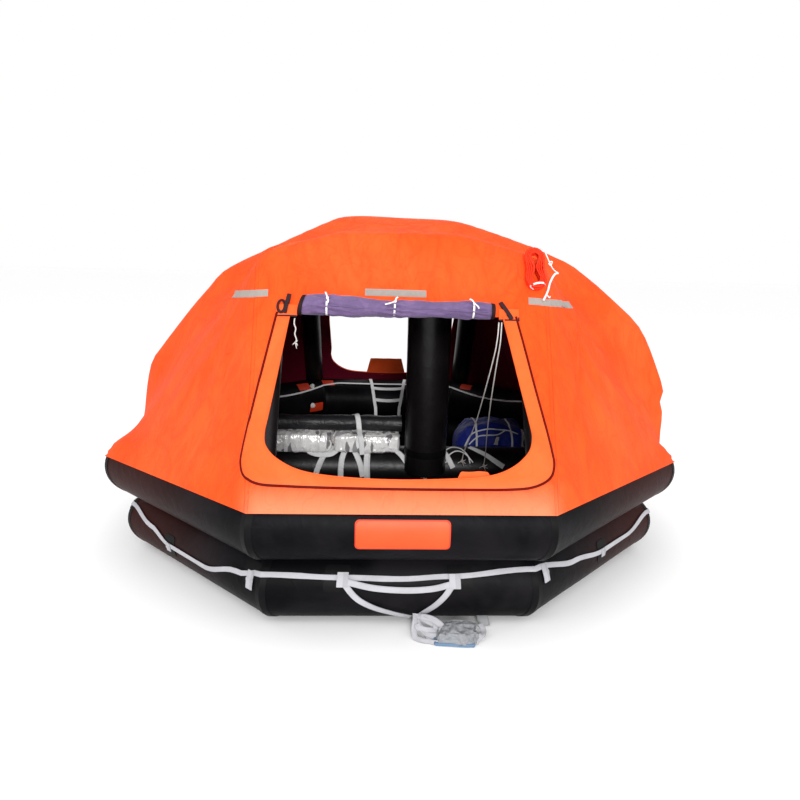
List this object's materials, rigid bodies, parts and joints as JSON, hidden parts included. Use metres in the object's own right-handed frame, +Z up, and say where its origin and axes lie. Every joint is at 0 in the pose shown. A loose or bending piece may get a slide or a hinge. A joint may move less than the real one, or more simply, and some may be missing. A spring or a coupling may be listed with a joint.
{
  "type": "self-righting inflatable life raft",
  "caption": "Octagonal inflatable life raft with stacked buoyancy tubes, arch-supported canopy, open doorways at both ends, rolled door curtains, ladders and lifelines.",
  "frame": {"origin": "on the floor under the middle of the hull's octagon", "axes": "+Z up; -Y out of the front door, +X to the right as the raft is seen from in front"},
  "size_m": [3.24, 3.248, 1.9349],
  "materials": {
    "tube_rubber": "soft sheen",
    "canopy_cloth": "coated cloth",
    "curtain_cloth": "thin cloth",
    "white_webbing": "woven",
    "black_webbing": "woven",
    "foil": "crinkled foil",
    "blue_cloth": "coated cloth",
    "cylinder_paint": "satin",
    "orange_rope": "laid rope",
    "sign_patch": "smooth",
    "valve_plastic": "moulded"
  },
  "bodies": {
    "raft": {"upper_tube": "tube_rubber", "lower_tube": "tube_rubber", "floor": "tube_rubber", "water_pocket_1": "black_webbing", "water_pocket_2": "black_webbing", "water_pocket_3": "black_webbing", "water_pocket_4": "black_webbing", "thwart": "tube_rubber", "column": "tube_rubber", "centre_arch": "tube_rubber", "front_hoop": "tube_rubber", "rear_hoop": "tube_rubber", "canopy_front": "canopy_cloth", "canopy_rear": "canopy_cloth", "canopy_roof": "canopy_cloth", "canopy_left": "canopy_cloth", "canopy_right": "canopy_cloth", "outer_lifeline": "white_webbing", "inner_lifeline": "white_webbing", "front_sign_patch": "sign_patch", "rear_sign_patch": "sign_patch", "tow_pad_left": "tube_rubber", "tow_pad_right": "tube_rubber", "gas_cylinder": "cylinder_paint", "cylinder_valve": "valve_plastic", "cylinder_strap_left": "black_webbing", "cylinder_strap_right": "black_webbing", "boarding_ladder": "white_webbing", "cabin_ladder": "white_webbing", "foil_pack": "foil", "pack_strap": "white_webbing", "equipment_bag": "blue_cloth", "upper_valve": "valve_plastic", "lower_valve": "valve_plastic", "front_loop_left": "black_webbing", "front_loop_right": "black_webbing", "rear_loop_left": "black_webbing", "rear_loop_right": "black_webbing", "heaving_line": "orange_rope", "door_cord_left": "white_webbing", "door_cord_right": "white_webbing", "door_tie": "white_webbing"},
    "front_curtain": {"front_door_roll": "curtain_cloth"},
    "rear_curtain": {"rear_door_roll": "curtain_cloth"}
  },
  "joints": [
    {"name": "front_curtain_swing", "type": "hinge", "parent": "raft", "child": "front_curtain", "pos_m": [0, -1.158, 1.3911], "axis": [1, 0, 0], "range_deg": [0, 110]},
    {"name": "rear_curtain_swing", "type": "hinge", "parent": "raft", "child": "rear_curtain", "pos_m": [0, 1.158, 1.3911], "axis": [-1, 0, 0], "range_deg": [0, 110]}
  ]
}
